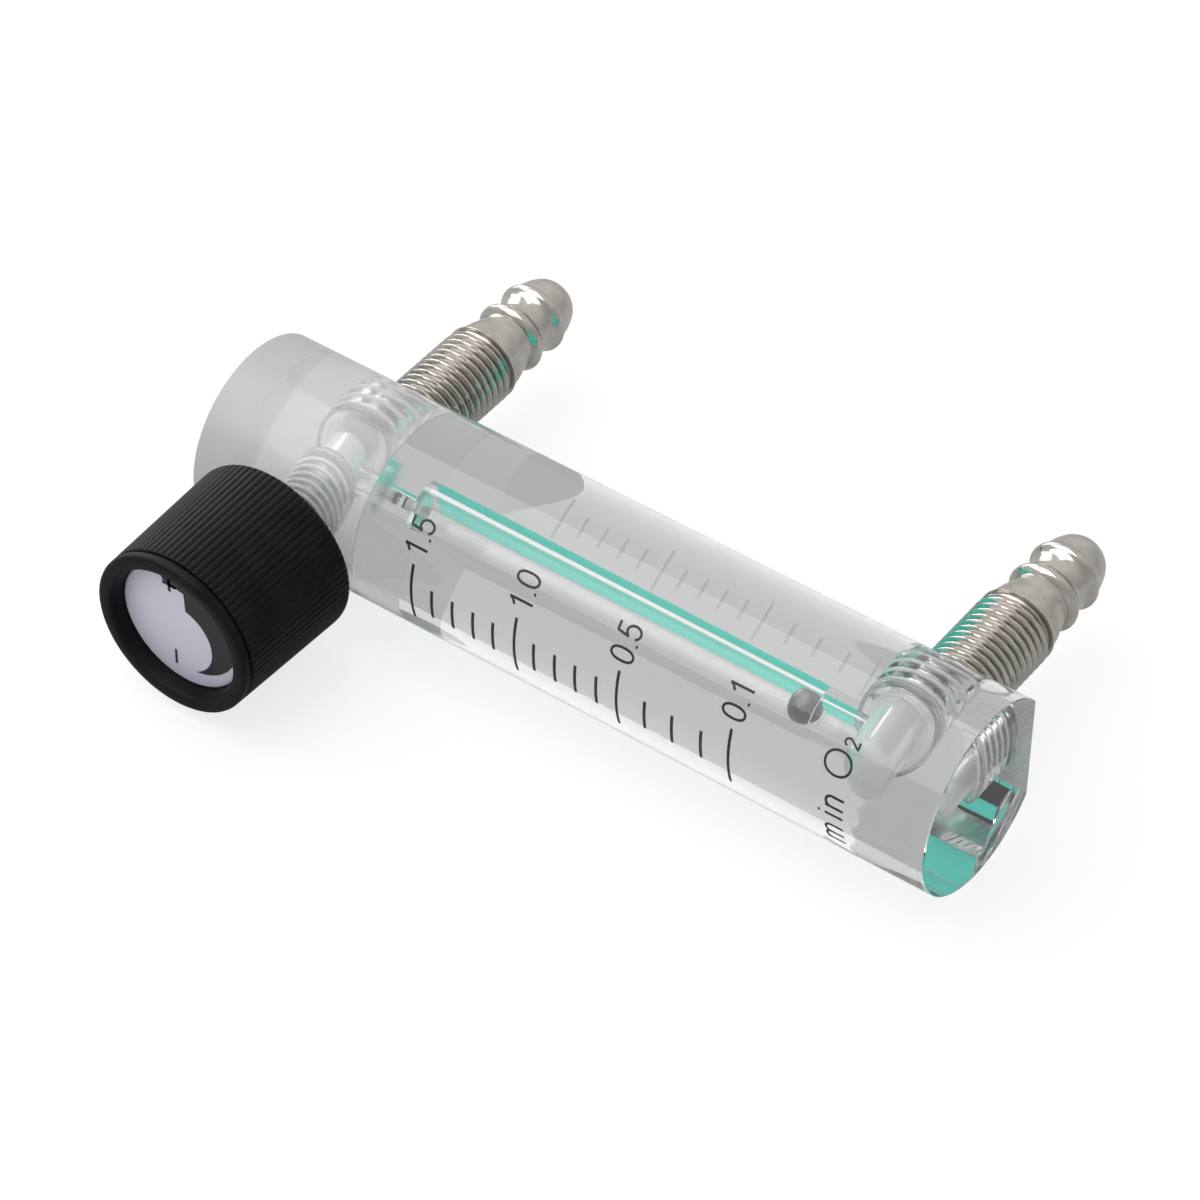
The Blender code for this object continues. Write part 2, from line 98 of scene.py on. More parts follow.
ACRYLIC_IOR = 1.49
FACETS = 144
SHARP_ANGLE = 35.0
FLAT_SHARP_ANGLE = 30.0
KNOB_SHARP_ANGLE = 42.0
EDGE_BREAK = 0.12
JOINT_GAP = 0.04
JOINT_BREAK = 0.03
CONTACT = 0.06
THREAD_PITCH = 1.11
THREAD_DEPTH = 0.62
THREAD_ROWS_PER_TURN = 14
THREAD_REACH_Y = 15.35
PORT_COUNTERSINK = 0.3
BORE_MOUTH_RADIUS = (STOP_HIGH.z - STOP_LOW.z) / 2 + 0.03
BORE_END_RADIUS = BALL_RADIUS + 0.08
BORE_END_X = BALL_CENTRE.x + 1.81
PASSAGE_RADIUS = 1.5
STOP_HOLE_RADIUS = 0.5
STOP_LINING_RADIUS = 0.75
STOP_DARK_EDGE = 0.3
FILM_SPREAD = 0.4
FILM_CORNER = 0.35
FILM_PROUD = 0.02
FILM_SUNK = 0.06
CHAMBER_RADIUS = 3.1
INLET_CHAMBER_DEPTH = 3.7
CHAMBER_END = 1.6
VALVE_CHAMBER_RADIUS = 3.0
VALVE_CHAMBER_FLOOR = 1.2
BUSH_MOUTH_GAP = 0.25
BUSH_MOUTH_DEPTH = 0.6
ORIFICE_RADIUS = 0.95
FEED_RADIUS = 1.0
FITTING_BORE_RADIUS = 1.6
BEAD_RADIUS = 4.56
NECK_RADIUS = 3.88
RIDGE_STEEP_SIDE = 0.8
RIDGE_LONG_SIDE = 1.3
TIP_RADIUS = 4.12
TIP_LENGTH = 4.1
TIP_PROFILE = ((0.0, 0.0), (0.25, 0.2), (0.5, 0.52), (0.68, 0.86), (0.8, 1.2), (0.9, 1.6))
BUSH_NECK_RADIUS = 3.4
BUSH_BORE_RADIUS = 2.7
BUSH_STEM_RADIUS = 2.1
BUSH_SHOULDER_Y = ROD_AXIS_Y - 10.475
KNOB_FRONT_RADIUS = 10.65
KNOB_RIBS = 80
POINTS_PER_RIB = 10
RIB_DEPTH = 0.13
KNOB_RIM_WIDTH = 1.1
KNOB_GROOVE_WIDTH = 0.35
KNOB_GROOVE_DEPTH = 0.45
KNOB_WALL = 1.6
RECESS_FLARE = 0.35
HOLLOW_END_Y = ROD_AXIS_Y - 28.3
BOSS_RADIUS = 4.6
BOSS_START_Y = ROD_AXIS_Y - 19.2
STEM_HOLE_RADIUS = 1.85
STEM_HOLE_END_Y = ROD_AXIS_Y - 28.95

# The printed scale: places along the rod from its valve end, and round it from its front line

INK_IN = 0.03
INK_OUT = 0.015
SCALE_SLANT = 0.045
LONG_TICKS = (31.9, 46.4, 60.5, 75.6)
LONG_TICK_ENDS = (-3.5, 4.4)
LONG_TICK_WIDTH = 0.37
SHORT_TICKS = (34.8, 37.7, 40.6, 43.4, 49.1, 52.0, 54.8, 57.7, 64.3, 68.0, 71.9)
SHORT_TICK_ENDS = (-1.7, 2.26)
SHORT_TICK_WIDTH = 0.4
NUMERALS = (("1.5", 33.3), ("1.0", 48.0), ("0.5", 61.9), ("0.1", 76.9))
NUMERAL_HEIGHT = 3.1
NUMERAL_START = 5.5
NUMERAL_ADVANCE = 2.75
POINT_PLACE = 2.3
NUMERAL_STROKE = 0.31
POINT_STROKE = 0.36
UNIT_LINE = 90.7
UNIT_SIGNS = (
    ("L", -8.9, 3.4, 0.31),
    ("/", -6.6, 3.4, 0.29),
    ("m", -4.3, 3.4, 0.33),
    ("i", -0.1, 3.4, 0.33),
    ("n", 1.0, 3.4, 0.33),
    ("O", 5.0, 3.5, 0.29),
    ("2", 8.7, 1.9, 0.25),
)

# The turning mark on the knob's disc, across and up from the disc's centre

MARK_EDGE = 0.45
MARK_SPAN = (112, 8)
MARK_OUTER_MIDDLE = (5.9, -4.0)
MARK_POINT = (1.76, -6.12)
MARK_INNER_MIDDLE = (4.17, -0.98)
MARK_NECK = (0.69, 2.69)
MARK_STEPS = ((0.56, 5.33), (-0.47, 5.54), (-0.85, 5.3), (-2.42, 5.96))
PLUS_STROKES = (((-2.5, 5.6), (-0.5, 5.6)), ((-1.5, 4.6), (-1.5, 6.6)))
PLUS_STROKE = 0.42
MINUS_LINE = ((-1.1, -6.4), (-1.1, -4.2))
MINUS_STROKE = 0.35

# The light of the world: its least and its most, and where it is brightest

WORLD_LOW = 0.47
WORLD_HIGH = 0.8
WORLD_BRIGHT_SIDE = (-0.5, 0.3, 0.81)
WORLD_RAMP = (-0.2, 0.9)

# The lamps: name, place and size in mm, and power

LAMPS = (
    ("key_lamp", (-350, -250, 800), 1100, 7.2),
    ("back_lamp", (-900, 450, 350), 700, 3.0),
)

# The floor: half its width in mm, its colours by light and to the camera, and how much of it
# glows to the camera, in reflections and through the acrylic

FLOOR_REACH = 3000
FLOOR_LIT, FLOOR_SEEN = 0.56, 0.94
FLOOR_GLOW, FLOOR_GLOW_SEEN = 0.44, 1.0
FLOOR_SHARES = (("Camera", 0.78), ("Glossy", 0.5), ("Transmission", 0.7))

# The camera, from a fit of the rod, the fittings and the knob to the photograph

CAMERA_AZIMUTH = 35.473
CAMERA_ELEVATION = 43.928
CAMERA_ROLL = 0.761
CAMERA_DISTANCE = 559.687
CAMERA_LENS = 148.556
CAMERA_AIM = Vector((-2.255, -9.6, 0.303))
CAMERA_SENSOR = 36.0
CAMERA_CLIP = (0.01, 20.0)


def behind(distance):
    """The y of a point this far behind the rod's axis, on the fittings' side."""
    return ROD_AXIS_Y + distance


def in_front(distance):
    """The y of a point this far in front of the rod's axis, on the knob's side."""
    return ROD_AXIS_Y - distance


# Finishes


class Value:
    """A socket that gives a value. Arithmetic on it adds Math nodes."""

    def __init__(self, nodes, socket):
        self.nodes = nodes
        self.socket = socket

    def maths(self, operation, first, second):
        return self.nodes.node("ShaderNodeMath", {"operation": operation}, {0: first, 1: second})

    def __add__(self, other):
        return self.maths("ADD", self, other)

    def __radd__(self, other):
        return self.maths("ADD", other, self)

    def __sub__(self, other):
        return self.maths("SUBTRACT", self, other)

    def __rsub__(self, other):
        return self.maths("SUBTRACT", other, self)

    def __mul__(self, other):
        return self.maths("MULTIPLY", self, other)

    def __rmul__(self, other):
        return self.maths("MULTIPLY", other, self)

    def __truediv__(self, other):
        return self.maths("DIVIDE", self, other)

    def __rtruediv__(self, other):
        return self.maths("DIVIDE", other, self)

    def __pow__(self, other):
        return self.maths("POWER", self, other)

    def __rpow__(self, other):
        return self.maths("POWER", other, self)

    def above(self, edge, softness):
        """0 below the edge, 1 above it, with a ramp of this softness between."""
        return self.nodes.node(
            "ShaderNodeMapRange",
            {"interpolation_type": "SMOOTHSTEP"},
            {0: self, 1: edge - softness, 2: edge + softness, 3: 0.0, 4: 1.0},
        )


class Nodes:
    """The nodes of a finish, or of the light round the meter."""

    def __init__(self, tree):
        self.tree = tree

    def fill(self, socket, value):
        if isinstance(value, Value):
            self.tree.links.new(value.socket, socket)
        elif isinstance(value, tuple) and len(socket.default_value) == 4:
            socket.default_value = (*value, 1.0)[:4]
        else:
            socket.default_value = value

    def node(self, kind, settings=None, inputs=None, output=0):
        """Adds a node: its type, its settings, the values or links of its sockets, its output."""
        made = self.tree.nodes.new(kind)
        for key, value in (settings or {}).items():
            setattr(made, key, value)
        for key, value in (inputs or {}).items():
            self.fill(made.inputs[key], value)
        return Value(self, made.outputs[output])

    def mix(self, first, second, share):
        """The first colour, turning into the second as share goes from 0 to 1."""
        return self.node(
            "ShaderNodeMix", {"data_type": "RGBA"}, {0: share, 6: first, 7: second}, 2
        )

    def mix_shaders(self, first, second, share):
        """The first shader, turning into the second as share goes from 0 to 1."""
        return self.node("ShaderNodeMixShader", None, {0: share, 1: first, 2: second})

    def ray(self, kind):
        """1 for a ray of this kind, else 0."""
        return self.node("ShaderNodeLightPath", output=f"Is {kind} Ray")

    def show(self, shader):
        """Makes the shader what the tree gives out."""
        output = next(node for node in self.tree.nodes if node.type.startswith("OUTPUT_"))
        self.fill(output.inputs["Surface"], shader)


class Finish(Nodes):
    """A material on one Principled shader, with its varying inputs fed from nodes."""

    def __init__(self, name, **constants):
        self.material = bpy.data.materials.new(name)
        self.material.use_nodes = True
        super().__init__(self.material.node_tree)
        self.shader = self.tree.nodes["Principled BSDF"]
        for key, value in constants.items():
            self.feed(key.replace("_", " ").title().replace("Ior", "IOR"), value)

    def feed(self, name, value):
        self.fill(self.shader.inputs[name], value)

    def surface(self):
        return Value(self, self.shader.outputs[0])

    def place(self):
        """Where a point lies on the piece, in mm."""
        coordinates = self.node("ShaderNodeTexCoord", output="Object")
        return self.node(
            "ShaderNodeVectorMath", {"operation": "SCALE"}, {0: coordinates, 3: 1000.0}
        )

    def along(self, axis):
        """Where a point lies along one axis of the meter, in mm."""
        return self.node("ShaderNodeSeparateXYZ", None, {0: self.place()}, "XYZ".index(axis))

    def noise(self, scale, detail=2.0, vector=None):
        return self.node(
            "ShaderNodeTexNoise",
            None,
            {"Vector": vector or self.place(), "Scale": scale, "Detail": detail},
        )

    def stretched(self, x, y, z):
        """The place on the piece with each axis scaled, for grain that runs one way."""
        return self.node(
            "ShaderNodeVectorMath",
            {"operation": "MULTIPLY"},
            {0: self.place(), 1: (x, y, z)},
        )

    def cover(self, share, colour, roughness):
        """A plain second surface of this colour, shown where share is 1."""
        second = self.node(
            "ShaderNodeBsdfPrincipled", None, {"Base Color": colour, "Roughness": roughness}
        )
        self.show(self.mix_shaders(self.surface(), second, share))

    def bump(self, height, distance, strength=1.0):
        """Raises the surface by height times distance, in mm."""
        normal = self.node(
            "ShaderNodeBump",
            None,
            {"Height": height, "Distance": distance * 0.001, "Strength": strength},
        )
        self.feed("Normal", normal)


def polished_acrylic():
    """The rod and its bore, with faint smears and the slight waviness of polished stock."""
    finish = Finish(
        "polished_acrylic",
        base_color=(0.975, 0.985, 0.98),
        transmission_weight=1.0,
        ior=ACRYLIC_IOR,
    )
    smears = finish.noise(0.22, 3.0)
    finish.feed("Roughness", smears.above(0.62, 0.12) * 0.03)
    finish.bump(finish.noise(0.11, 1.0), 0.012, 0.3)
    return finish.material


def satin_acrylic():
    """The round of the valve block, left as turned: soft, with faint tool lines round it."""
    finish = Finish(
        "satin_acrylic",
        base_color=(1.0, 1.0, 0.995),
        transmission_weight=0.8,
        ior=ACRYLIC_IOR,
    )
    lines = finish.noise(1.0, 2.0, finish.stretched(7.0, 0.25, 0.25))
    clouds = finish.noise(0.3, 2.0)
    free_end = 1.0 - finish.along("X").above(VALVE_END_X + 8.0, 4.5)
    finish.feed("Roughness", lines * 0.03 + clouds * 0.05 + free_end * 0.2 + 0.06)
    finish.bump(lines, 0.003)
    return finish.material


def turned_acrylic():
    """The faced-off end of the valve block: matt, with the tool's rings round the rod's axis."""
    finish = Finish(
        "turned_acrylic",
        base_color=(0.97, 0.99, 0.985),
        transmission_weight=0.55,
        ior=ACRYLIC_IOR,
    )
    place = finish.node(
        "ShaderNodeVectorMath",
        {"operation": "SUBTRACT"},
        {0: finish.stretched(0.0, 1.0, 1.0), 1: (0.0, ROD_AXIS_Y, 0.0)},
    )
    radius = finish.node(
        "ShaderNodeVectorMath", {"operation": "LENGTH"}, {0: place}, output="Value"
    )
    rings = finish.node("ShaderNodeMath", {"operation": "SINE"}, {0: radius * 18.0})
    finish.feed("Roughness", finish.noise(0.8, 2.0) * 0.1 + 0.3)
    finish.bump(rings, 0.002)
    return finish.material


def jointed_acrylic():
    """The two faces that meet at the joint, cut and barely polished, with a pale cyan cast."""
    finish = Finish(
        "jointed_acrylic",
        base_color=(0.90, 0.99, 0.975),
        transmission_weight=0.95,
        ior=ACRYLIC_IOR,
    )
    haze = finish.noise(0.5, 3.0)
    finish.feed("Roughness", haze * 0.12 + 0.1)
    finish.bump(haze, 0.01)
    return finish.material


def milled_acrylic():
    """The flat back, left as milled: pale and satin, with the cutter's lines along the rod."""
    finish = Finish("milled_acrylic", transmission_weight=0.45, ior=ACRYLIC_IOR)
    lines = finish.noise(1.0, 2.0, finish.stretched(0.2, 1.0, 6.0))
    finish.feed("Base Color", finish.mix((0.88, 0.96, 0.95), (0.95, 0.99, 0.985), lines))
    finish.feed("Roughness", lines * 0.12 + 0.22)
    finish.bump(lines, 0.006)
    return finish.material


def tapped_acrylic(name, axis_x):
    """The wall of a port, with the rear flank of its thread left white by the tap."""
    finish = Finish(name, transmission_weight=0.85, ior=ACRYLIC_IOR)
    grain = finish.noise(1.0, 2.0, finish.stretched(0.3, 4.0, 0.3))
    finish.feed("Base Color", finish.mix((0.92, 0.93, 0.925), (0.97, 0.98, 0.975), grain))
    finish.feed("Roughness", grain * 0.04 + 0.02)
    finish.bump(grain, 0.006)
    across = finish.along("X") - axis_x
    turn = finish.node(
        "ShaderNodeMath", {"operation": "ARCTAN2"}, {0: finish.along("Z"), 1: across}
    )
    phase = finish.along("Y") / THREAD_PITCH + turn / (2 * math.pi)
    within = finish.node("ShaderNodeMath", {"operation": "FRACT"}, {0: phase})
    flank = within.above(0.3, 0.06) * (1.0 - within.above(0.62, 0.06))
    radius = (across**2 + finish.along("Z") ** 2) ** 0.5
    threaded = radius.above(CHAMBER_RADIUS + 0.6, 0.1)
    share = flank * threaded * 0.8 + (1.0 - threaded) * 0.5
    finish.cover(share, (0.93, 0.95, 0.94), 0.35)
    return finish.material


def teal_film():
    """The coloured backing, a little mottled. It has a painted glow, standing in for the light that
    the acrylic keeps from it.
    """
    # painted glow: the emission stands in for light reaching the film through the acrylic
    finish = Finish("teal_film", transmission_weight=0.2, emission_strength=0.28)
    mottle = finish.noise(0.5, 4.0)
    finish.feed("Base Color", finish.mix((0.05, 0.72, 0.60), (0.08, 0.80, 0.67), mottle))
    finish.feed("Emission Color", finish.mix((0.03, 0.60, 0.50), (0.05, 0.68, 0.57), mottle))
    finish.feed("Roughness", mottle * 0.2 + 0.32)
    finish.bump(finish.noise(3.0, 2.0), 0.01)
    return finish.material


def ball_black():
    """Polished black, rubbed paler in small patches by its travel in the bore."""
    finish = Finish("ball_black", coat_weight=0.6, coat_roughness=0.06)
    wear = finish.noise(1.6, 3.0).above(0.6, 0.1)
    finish.feed("Base Color", finish.mix((0.012, 0.012, 0.014), (0.04, 0.04, 0.042), wear))
    finish.feed("Roughness", wear * 0.12 + 0.16)
    finish.bump(finish.noise(2.5, 2.0), 0.004)
    return finish.material


def stop_white():
    """The pale lining of the stop's hole."""
    finish = Finish("stop_white", transmission_weight=0.5, ior=ACRYLIC_IOR)
    grain = finish.noise(3.0, 3.0)
    finish.feed("Base Color", finish.mix((0.88, 0.90, 0.90), (0.94, 0.96, 0.96), grain))
    finish.feed("Roughness", grain * 0.1 + 0.1)
    finish.bump(grain, 0.01)
    return finish.material


def nickel_plate(name, colour, shade, roughness, axis_x=None):
    """Bright plate over turned brass: fine tool lines round the piece and faint warm clouds.

    With axis_x, the roots of a shank's thread about that line are darkened with painted shade.
    """
    finish = Finish(name, metallic=1.0)
    clouds = finish.noise(0.6, 3.0)
    lines = finish.noise(1.0, 2.0, finish.stretched(0.3, 14.0, 0.3))
    plate = finish.mix(colour, shade, clouds.above(0.52, 0.2))
    if axis_x is not None:
        radius = ((finish.along("X") - axis_x) ** 2 + finish.along("Z") ** 2) ** 0.5
        # painted shade: the roots of the thread go dark, as the shade in its grooves
        painted_root_shade = 1.0 - radius.above(THREAD_RADIUS - 0.36, 0.16)
        threaded = 1.0 - finish.along("Y").above(THREAD_REACH_Y - 0.3, 0.1)
        plate = finish.mix(plate, (0.16, 0.14, 0.12), painted_root_shade * threaded * 0.65)
    finish.feed("Base Color", plate)
    finish.feed("Roughness", lines * 0.12 + clouds * 0.06 + roughness)
    finish.bump(lines, 0.002)
    return finish.material


def seal_white():
    """The flat seals: natural white and a little clear, with a fine grain."""
    finish = Finish("seal_white", transmission_weight=0.85, ior=ACRYLIC_IOR)
    grain = finish.noise(3.0, 3.0)
    finish.feed("Base Color", finish.mix((0.88, 0.89, 0.87), (0.93, 0.94, 0.93), grain))
    finish.feed("Roughness", grain * 0.1 + 0.15)
    finish.bump(grain, 0.01)
    return finish.material


def seal_black():
    """Moulded black rubber."""
    finish = Finish("seal_black")
    grain = finish.noise(5.0, 3.0)
    finish.feed("Base Color", finish.mix((0.012, 0.012, 0.012), (0.035, 0.035, 0.035), grain))
    finish.feed("Roughness", grain * 0.3 + 0.45)
    finish.bump(grain, 0.012)
    return finish.material


def knob_black():
    """Satin moulded black, with a fine spark-eroded grain and paler handled patches."""
    finish = Finish("knob_black", specular_ior_level=0.13)
    grain = finish.noise(9.0, 3.0)
    patches = finish.noise(0.25, 3.0)
    finish.feed(
        "Base Color",
        finish.mix((0.003, 0.003, 0.0035), (0.007, 0.007, 0.0075), patches.above(0.5, 0.25)),
    )
    finish.feed("Roughness", grain * 0.16 + patches * 0.12 + 0.32)
    finish.bump(grain, 0.012)
    return finish.material


def disc_lilac():
    """The smooth lilac inlay, with painted shade deepening it towards its lower edge."""
    finish = Finish("disc_lilac", coat_weight=0.3, coat_roughness=0.2)
    clouds = finish.noise(0.3, 2.0)
    # painted shade: the colour is deeper towards the disc's lower edge
    low = finish.node(
        "ShaderNodeMapRange",
        None,
        {0: finish.along("Z"), 1: -8.0, 2: 8.0, 3: 0.0, 4: 1.0},
    )
    pale = finish.mix((0.64, 0.63, 0.73), (0.70, 0.69, 0.78), clouds)
    finish.feed("Base Color", finish.mix((0.57, 0.56, 0.67), pale, low))
    finish.feed("Roughness", clouds * 0.2 + 0.3)
    finish.bump(finish.noise(4.0, 3.0), 0.006)
    return finish.material


def printing_ink(name, colour, thin):
    """Screen-printed ink, a little uneven in cover and gloss."""
    finish = Finish(name)
    cover = finish.noise(5.0, 3.0)
    finish.feed("Base Color", finish.mix(colour, thin, cover.above(0.62, 0.15)))
    finish.feed("Roughness", cover * 0.3 + 0.3)
    finish.bump(cover, 0.006)
    return finish.material


# Shapes


def finish_mesh(name, mesh_data, finishes, sharp=SHARP_ANGLE):
    """Makes the piece from a bmesh in mm. Edges over the sharp angle stay crisp."""
    bmesh.ops.recalc_face_normals(mesh_data, faces=mesh_data.faces)
    bmesh.ops.scale(mesh_data, vec=(0.001, 0.001, 0.001), verts=mesh_data.verts)
    mesh = bpy.data.meshes.new(name)
    mesh_data.to_mesh(mesh)
    mesh_data.free()
    mesh.shade_smooth()
    mesh.set_sharp_from_angle(angle=math.radians(sharp))
    for finish in finishes:
        mesh.materials.append(finish)
    piece = bpy.data.objects.new(name, mesh)
    bpy.context.collection.objects.link(piece)
    return piece


def loft(mesh_data, rings, closed=False, slots=None):
    """Joins rings of points in order. A ring of one point is a pole, and open ends get a cap."""
    made = [[mesh_data.verts.new(point) for point in ring] for ring in rings]
    pairs = list(zip(made, made[1:]))
    if closed:
        pairs.append((made[-1], made[0]))
    for number, (first, second) in enumerate(pairs):
        count = max(len(first), len(second))
        for here in range(count):
            after = (here + 1) % count
            corners = [
                first[here % len(first)],
                first[after % len(first)],
                second[after % len(second)],
                second[here % len(second)],
            ]
            face = mesh_data.faces.new(list(dict.fromkeys(corners)))
            face.material_index = slots[number] if slots else 0
    for ring in () if closed else (made[0], made[-1]):
        if len(ring) > 1:
            mesh_data.faces.new(ring)


def ring_round(radius, facets):
    """Points (a, b) round an axis. The radius is a number, or a function of the share of a turn."""
    if radius == 0:
        return [(0.0, 0.0)]
    points = []
    for step in range(facets):
        turn = step / facets
        reach = radius(turn) if callable(radius) else radius
        points.append(
            (reach * math.cos(2 * math.pi * turn), reach * math.sin(2 * math.pi * turn))
        )
    return points


def turned_y(name, rows, axis_x, finishes, facets=FACETS, closed=False, sharp=SHARP_ANGLE):
    """A piece turned about a line along Y. Each row is (radius, y)."""
    mesh_data = bmesh.new()
    rings = [[(axis_x + a, y, b) for a, b in ring_round(r, facets)] for r, y in rows]
    loft(mesh_data, rings, closed)
    return finish_mesh(name, mesh_data, finishes, sharp)


def turned_x(name, rows, finishes, facets=FACETS, closed=False, slots=None):
    """A piece turned about the rod's axis. Each row is (radius, x)."""
    mesh_data = bmesh.new()
    rings = [[(x, ROD_AXIS_Y + a, b) for a, b in ring_round(r, facets)] for r, x in rows]
    loft(mesh_data, rings, closed, slots)
    return finish_mesh(name, mesh_data, finishes)


def thread_rows(crest, start, end, grow=0.0):
    """Rows of a right-hand thread from start to end. It runs out over the first and last turn."""
    count = max(2, round(abs(end - start) / THREAD_PITCH * THREAD_ROWS_PER_TURN))
    rows = []
    for row in range(count + 1):
        share = row / count
        y = start + (end - start) * share
        fade = min(1.0, share * count / THREAD_ROWS_PER_TURN * 1.4 + 0.1)
        fade = min(fade, (1 - share) * count / THREAD_ROWS_PER_TURN * 1.4 + 0.1)

        def radius(turn, y=y, fade=fade):
            phase = (y / THREAD_PITCH + turn) % 1.0
            height = min(1.0, max(0.0, (1 - abs(2 * phase - 1) - 0.1) / 0.72))
            return crest + grow - THREAD_DEPTH * (1 - height * fade)

        rows.append((radius, y))
    return rows


def ridge_rows(crest_y, steps=24):
    """Rows of one of the barb's two narrow ridges, steeper on its side towards the thread."""
    foot = crest_y - RIDGE_STEEP_SIDE
    rows = [(NECK_RADIUS, foot - 0.15), (NECK_RADIUS, foot - 0.04)]
    for step in range(steps + 1):
        offset = (RIDGE_STEEP_SIDE + RIDGE_LONG_SIDE) * step / steps - RIDGE_STEEP_SIDE
        width, fall = (RIDGE_STEEP_SIDE, 1.0) if offset < 0 else (RIDGE_LONG_SIDE, 1.7)
        up = max(0.0, 1 - (abs(offset) / width) ** 2.2) ** fall
        rows.append((NECK_RADIUS + (BEAD_RADIUS - NECK_RADIUS) * up, crest_y + offset))
    return rows


def port_rows():
    """Rows of a tapped port from its floor to its countersunk mouth in the flat back."""
    rows = thread_rows(THREAD_RADIUS, PORT_FLOOR_Y, BACK_Y - 0.5, CONTACT)
    rows.append((THREAD_RADIUS + PORT_COUNTERSINK, BACK_Y - PORT_COUNTERSINK))
    rows.append((THREAD_RADIUS + 2 * PORT_COUNTERSINK, BACK_Y + 1))
    return rows


def carve(body, cutters):
    """Takes the cutters out of the body for good. Each cut face keeps its cutter's finish."""
    for cutter in cutters:
        modifier = body.modifiers.new(cutter.name, "BOOLEAN")
        modifier.operation = "DIFFERENCE"
        modifier.solver = "EXACT"
        modifier.material_mode = "TRANSFER"
        modifier.object = cutter
    graph = bpy.context.evaluated_depsgraph_get()
    carved = bpy.data.meshes.new_from_object(body.evaluated_get(graph))
    body.modifiers.clear()
    body.data = carved
    carved.name = body.name
    carved.set_sharp_from_angle(angle=math.radians(SHARP_ANGLE))
    for cutter in cutters:
        bpy.data.objects.remove(cutter, do_unlink=True)


def d_section_bar(name, start_x, end_x, finishes, end_slots, flat_slot, breaks):
    """The rod's section between two places, with its flat at the back and its end edges broken."""
    flat = BACK_Y - ROD_AXIS_Y

    def section(radius, depth):
        angle = math.acos(depth / radius)
        steps = 2 * FACETS
        points = []
        for step in range(steps + 1):
            turn = angle + (2 * math.pi - 2 * angle) * step / steps
            points.append((radius * math.cos(turn), radius * math.sin(turn)))
        return points

    first, last = breaks
    full = section(ROD_RADIUS, flat)
    rings = []
    for x, points in (
        (start_x, section(ROD_RADIUS - first, flat - first)),
        (start_x + first, full),
        (end_x - last, full),
        (end_x, section(ROD_RADIUS - last, flat - last)),
    ):
        rings.append([(x, ROD_AXIS_Y + a, b) for a, b in points])
    mesh_data = bmesh.new()
    loft(mesh_data, rings)
    mesh_data.faces.ensure_lookup_table()
    mesh_data.faces[-2].material_index = end_slots[0]
    mesh_data.faces[-1].material_index = end_slots[1]
    for face in mesh_data.faces:
        if all(abs(corner.co.y - BACK_Y) < 0.001 for corner in face.verts):
            face.material_index = flat_slot
    return finish_mesh(name, mesh_data, finishes, FLAT_SHARP_ANGLE)


def make_valve_block(satin, turned, jointed, tapped):
    block = d_section_bar(
        "valve_block_clear",
        VALVE_END_X,
        JOINT_X - JOINT_GAP / 2,
        [satin, turned, jointed],
        (1, 2),
        0,
        (EDGE_BREAK, JOINT_BREAK),
    )
    mouth = BUSH_RADIUS + BUSH_MOUTH_GAP
    floor = ROD_RADIUS - BUSH_MOUTH_DEPTH
    rows = [(mouth, in_front(ROD_RADIUS + 2)), (mouth, in_front(floor))]
    rows += thread_rows(BUSH_RADIUS, in_front(floor - 0.1), BUSH_FLOOR_Y, CONTACT)
    rows += [
        (VALVE_CHAMBER_RADIUS, BUSH_FLOOR_Y),
        (VALVE_CHAMBER_RADIUS, behind(VALVE_CHAMBER_FLOOR)),
        (ORIFICE_RADIUS, behind(VALVE_CHAMBER_FLOOR)),
        (ORIFICE_RADIUS, PORT_FLOOR_Y),
    ]
    rows += port_rows()
    ports = turned_y("cut_valve_bore", rows, OUTLET_X, [tapped])
    feed = turned_x(
        "cut_feed", [(FEED_RADIUS, OUTLET_X), (FEED_RADIUS, JOINT_X + 2)], [jointed], 48
    )
    carve(block, [ports, feed])
    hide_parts("valve_block")
    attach(block, "housing")


def make_metering_tube(polished, jointed, milled, tapped):
    tube = d_section_bar(
        "metering_tube_clear",
        JOINT_X + JOINT_GAP / 2,
        INLET_END_X,
        [polished, jointed, milled],
        (1, 0),
        2,
        (JOINT_BREAK, EDGE_BREAK),
    )
    bore = turned_x(
        "cut_tapered_bore",
        [
            (STOP_LINING_RADIUS + 0.02, JOINT_X - 1),
            (STOP_LINING_RADIUS + 0.02, STOP_HIGH.x),
            (BORE_MOUTH_RADIUS, STOP_HIGH.x + 0.5),
            (BORE_END_RADIUS, BORE_END_X),
            (PASSAGE_RADIUS, BORE_END_X),
            (PASSAGE_RADIUS, INLET_X),
        ],
        [polished],
    )
    rows = [(0, in_front(INLET_CHAMBER_DEPTH))]
    for angle in (72, 54, 36, 18, 0):
        turn = math.radians(angle)
        depth = INLET_CHAMBER_DEPTH - CHAMBER_END * (1 - math.sin(turn))
        rows.append((CHAMBER_RADIUS * math.cos(turn), in_front(depth)))
    rows += [(CHAMBER_RADIUS, PORT_FLOOR_Y), *port_rows()]
    port = turned_y("cut_inlet_port", rows, INLET_X, [tapped])
    carve(tube, [bore, port])
    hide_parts("metering_tube")
    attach(tube, "housing")


def make_stop_lining(white, dark):
    """The stop is one with the clear tube, so that only the lining of its hole shows."""
    inner, outer = STOP_HOLE_RADIUS, STOP_LINING_RADIUS
    low, high = STOP_LOW.x, STOP_HIGH.x
    # The first rows give the valve end of the lining a dark band, drawn in the black of the seals.
    rows = [
        (inner, low),
        (outer, low),
        (outer, low + STOP_DARK_EDGE),
        (outer, high - 0.1),
        (outer - 0.1, high),
        (inner, high),
    ]
    lining = turned_x(
        "float_stop_lining", rows, [white, dark], 72, closed=True, slots=(1, 1, 0, 0, 0, 0)
    )
    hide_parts("float_stop")
    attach(lining, "housing")


